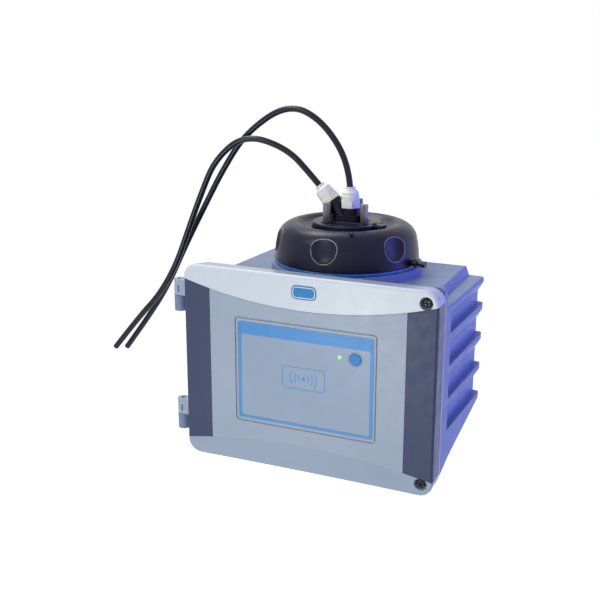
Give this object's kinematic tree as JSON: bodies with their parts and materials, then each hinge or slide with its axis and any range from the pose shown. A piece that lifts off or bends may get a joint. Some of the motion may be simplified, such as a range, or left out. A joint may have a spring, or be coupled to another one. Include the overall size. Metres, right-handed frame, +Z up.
{
  "type": "turbidity meter",
  "caption": "Wall-held turbidity meter with a hinged front door, a domed lock ring round a lift-out glass vial head, and two sample tubes.",
  "frame": {"origin": "centre of the four mounting feet, on the wall's plane", "axes": "+X to the right as seen from the front, +Y into the wall, +Z up"},
  "size_m": [0.4081, 0.1913, 0.3467],
  "materials": {
    "housing_blue": "fine grain, slate blue",
    "door_blue": "fine grain, light slate blue",
    "band_pale": "smooth, very pale blue grey",
    "strip_navy": "smooth, dark navy",
    "foil_grey": "printed film, satin",
    "badge_grey": "smooth",
    "lens_green": "translucent, lit",
    "button_blue": "smooth, blue",
    "black_plastic": "satin, near black",
    "dome_black": "satin, near black",
    "ring_blue": "smooth, bright blue",
    "plate_dark": "black anodised, turned",
    "screw_steel": "turned stainless steel",
    "fitting_white": "smooth, white",
    "collet_grey": "smooth, grey",
    "tube_black": "polyethylene tube, black",
    "seal_rubber": "matt",
    "insert_brass": "turned",
    "pin_steel": "ground",
    "panel_grey": "matt",
    "cartridge_grey": "matt",
    "optics_black": "black anodised",
    "lamp_metal": "turned",
    "clear_glass": "clear",
    "board_green": "circuit board",
    "copper": "bare copper"
  },
  "bodies": {
    "root": {"rear_housing": "housing_blue", "cable_sockets": "black_plastic", "mount_inserts": "insert_brass", "door_screw_inserts": "insert_brass", "door_seal": "seal_rubber", "hinge_pins": "pin_steel", "inner_panel": "panel_grey", "panel_screws": "screw_steel", "desiccant_cartridge": "cartridge_grey", "optics_block": "optics_black", "vial_well": "optics_black", "light_module": "lamp_metal", "beam_lens": "clear_glass", "detector_board": "board_green", "main_board": "board_green", "board_screws": "screw_steel", "board_posts": "housing_blue", "seat_seal": "seal_rubber"},
    "door": {"door_shell": "door_blue", "top_band": "band_pale", "badge": "badge_grey", "left_strip": "strip_navy", "right_strip": "strip_navy", "front_foil": "foil_grey", "status_lens": "lens_green", "button_switch": "black_plastic", "antenna_board": "board_green", "antenna_coil": "copper", "antenna_screws": "screw_steel"},
    "button": {"push_button": "button_blue"},
    "door_screw_upper": {"upper_door_screw": "black_plastic"},
    "door_screw_lower": {"lower_door_screw": "black_plastic"},
    "head": {"head_body": "black_plastic", "blue_ring": "ring_blue", "centre_plate": "plate_dark", "flow_block": "black_plastic", "outlet_fitting": "fitting_white", "inlet_fitting": "fitting_white", "vial_nut": "black_plastic", "vial": "clear_glass", "dip_tube": "fitting_white", "outlet_tube": "tube_black", "inlet_tube": "tube_black"},
    "lock_ring": {"lock_ring": "dome_black", "ring_stud": "black_plastic"},
    "thumb_front": {"thumb_screw_front": "screw_steel"},
    "thumb_right": {"thumb_screw_right": "screw_steel"},
    "thumb_rear": {"thumb_screw_rear": "screw_steel"},
    "outlet_release": {"outlet_collet": "collet_grey"},
    "inlet_release": {"inlet_collet": "collet_grey"}
  },
  "joints": [
    {"name": "door_hinge", "type": "hinge", "parent": "root", "child": "door", "pos_m": [-0.13975, -0.178, 0], "axis": [0, 0, -1], "range_deg": [0, 110]},
    {"name": "button_press", "type": "slide", "parent": "door", "child": "button", "axis": [0, 1, 0], "range_m": [0, 0.001], "stiffness_N_per_m": 800, "springref_m": -0.001},
    {"name": "upper_door_screw_turn", "type": "hinge", "parent": "door", "child": "door_screw_upper", "pos_m": [0.11725, -0.186, 0.0727], "axis": [0, 1, 0], "range_deg": [0, 90]},
    {"name": "lower_door_screw_turn", "type": "hinge", "parent": "door", "child": "door_screw_lower", "pos_m": [0.11725, -0.186, -0.1], "axis": [0, 1, 0], "range_deg": [0, 90]},
    {"name": "head_lift", "type": "slide", "parent": "root", "child": "head", "axis": [0, 0, 1], "range_m": [0, 0.11]},
    {"name": "lock_ring_turn", "type": "hinge", "parent": "head", "child": "lock_ring", "pos_m": [0, -0.087, 0.1], "axis": [0, 0, 1], "range_deg": [0, 45]},
    {"name": "front_thumb_screw_turn", "type": "hinge", "parent": "head", "child": "thumb_front", "pos_m": [-0.01556, -0.10256, 0.119], "axis": [0, 0, 1], "continuous": true},
    {"name": "right_thumb_screw_turn", "type": "hinge", "parent": "head", "child": "thumb_right", "pos_m": [0.02067, -0.09452, 0.119], "axis": [0, 0, 1], "continuous": true},
    {"name": "rear_thumb_screw_turn", "type": "hinge", "parent": "head", "child": "thumb_rear", "pos_m": [0.00382, -0.06533, 0.119], "axis": [0, 0, 1], "continuous": true},
    {"name": "outlet_collet_press", "type": "slide", "parent": "head", "child": "outlet_release", "axis": [0, 0, -1], "range_m": [0, 0.001], "stiffness_N_per_m": 2000, "springref_m": -0.001},
    {"name": "inlet_collet_press", "type": "slide", "parent": "head", "child": "inlet_release", "axis": [0.682, 0, -0.7314], "range_m": [0, 0.001], "stiffness_N_per_m": 2000, "springref_m": -0.001}
  ]
}
